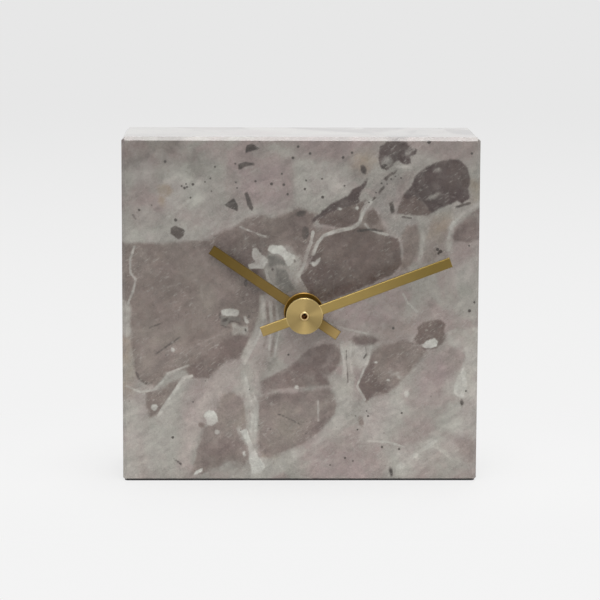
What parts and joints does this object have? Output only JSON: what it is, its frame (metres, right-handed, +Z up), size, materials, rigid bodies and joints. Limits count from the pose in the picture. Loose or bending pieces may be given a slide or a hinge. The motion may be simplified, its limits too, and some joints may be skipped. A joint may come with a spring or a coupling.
{
  "type": "table clock",
  "caption": "Square marble block table clock on a thin pad, with brass hour and minute hands on a bare face and a battery quartz movement in a rear recess.",
  "frame": {"origin": "middle of the pad's underside, the face that the clock rests on", "axes": "+X to the right as seen from the front, +Y from the face to the back, +Z up"},
  "size_m": [0.12, 0.0531, 0.117],
  "materials": {
    "marble": "polished",
    "pad": "matte",
    "black_plastic": "satin",
    "white_plastic": "satin",
    "hand_brass": "satin",
    "turned_brass": "satin",
    "steel": "satin",
    "magnet": "matte",
    "copper_wire": "gloss",
    "circuit_board": "satin",
    "chip_resin": "gloss",
    "crystal_can": "polished",
    "rubber": "matte",
    "battery_metal": "satin",
    "battery_wrap": "gloss"
  },
  "bodies": {
    "clock_body": {"marble_block": "marble", "base_pad": "pad", "movement_front_case": "black_plastic", "threaded_bush": "turned_brass", "gasket": "rubber", "nut_washer": "turned_brass", "hex_nut": "turned_brass", "gear_bridge": "white_plastic", "back_cover": "black_plastic", "stator": "steel", "coil_core": "steel", "coil_bobbin": "white_plastic", "coil_winding": "copper_wire", "circuit_board": "circuit_board", "clock_chip": "chip_resin", "quartz_crystal": "crystal_can", "positive_contact": "steel", "negative_contact": "steel"},
    "minute": {"minute_tube": "turned_brass", "clutch_spring": "steel", "clutch_collar": "turned_brass", "minute_hand": "hand_brass", "minute_hand_bush": "hand_brass"},
    "hour": {"hour_wheel": "turned_brass", "hour_hand": "hand_brass", "hour_hand_bush": "hand_brass"},
    "motion_work": {"motion_work_wheel": "white_plastic"},
    "setting": {"setting_arbor": "white_plastic", "setting_knob": "black_plastic"},
    "rotor": {"rotor_magnet": "magnet", "rotor_pinion": "white_plastic"},
    "fifth": {"fifth_wheel": "white_plastic"},
    "seconds": {"seconds_wheel": "white_plastic", "seconds_shaft": "steel"},
    "third": {"third_wheel": "white_plastic"},
    "centre": {"centre_wheel": "white_plastic"},
    "battery": {"battery_can": "battery_metal", "battery_wrap": "battery_wrap"}
  },
  "joints": [
    {"name": "minute_hand_turn", "type": "hinge", "parent": "clock_body", "child": "minute", "pos_m": [0.001, -0.011, 0.0586], "axis": [0, 1, 0], "continuous": true},
    {"name": "hour_hand_turn", "type": "hinge", "parent": "clock_body", "child": "hour", "pos_m": [0.001, -0.011, 0.0586], "axis": [0, 1, 0], "continuous": true},
    {"name": "motion_work_turn", "type": "hinge", "parent": "clock_body", "child": "motion_work", "pos_m": [-0.00888, -0.011, 0.06034], "axis": [0, 1, 0], "continuous": true},
    {"name": "setting_knob_turn", "type": "hinge", "parent": "clock_body", "child": "setting", "pos_m": [-0.01877, -0.011, 0.05674], "axis": [0, 1, 0], "continuous": true},
    {"name": "seconds_turn", "type": "hinge", "parent": "clock_body", "child": "seconds", "pos_m": [0.001, -0.011, 0.0586], "axis": [0, 1, 0], "continuous": true},
    {"name": "fifth_turn", "type": "hinge", "parent": "clock_body", "child": "fifth", "pos_m": [0.001, -0.011, 0.06926], "axis": [0, 1, 0], "continuous": true},
    {"name": "rotor_turn", "type": "hinge", "parent": "clock_body", "child": "rotor", "pos_m": [-0.00679, -0.011, 0.07375], "axis": [0, 1, 0], "continuous": true},
    {"name": "third_turn", "type": "hinge", "parent": "clock_body", "child": "third", "pos_m": [0.01051, -0.011, 0.06206], "axis": [0, 1, 0], "continuous": true},
    {"name": "centre_wheel_turn", "type": "hinge", "parent": "clock_body", "child": "centre", "pos_m": [0.001, -0.011, 0.0586], "axis": [0, 1, 0], "continuous": true},
    {"name": "battery_slide", "type": "slide", "parent": "clock_body", "child": "battery", "axis": [0, 1, 0], "range_m": [0, 0.03]}
  ],
  "couplings": [
    {"joint": "motion_work_turn", "follows": "minute_hand_turn", "ratio": -0.33333},
    {"joint": "hour_hand_turn", "follows": "minute_hand_turn", "ratio": 0.083333},
    {"joint": "setting_knob_turn", "follows": "minute_hand_turn", "ratio": 0.83333},
    {"joint": "fifth_turn", "follows": "seconds_turn", "ratio": -5},
    {"joint": "rotor_turn", "follows": "seconds_turn", "ratio": 30},
    {"joint": "third_turn", "follows": "seconds_turn", "ratio": -0.125},
    {"joint": "centre_wheel_turn", "follows": "seconds_turn", "ratio": 0.016667}
  ]
}
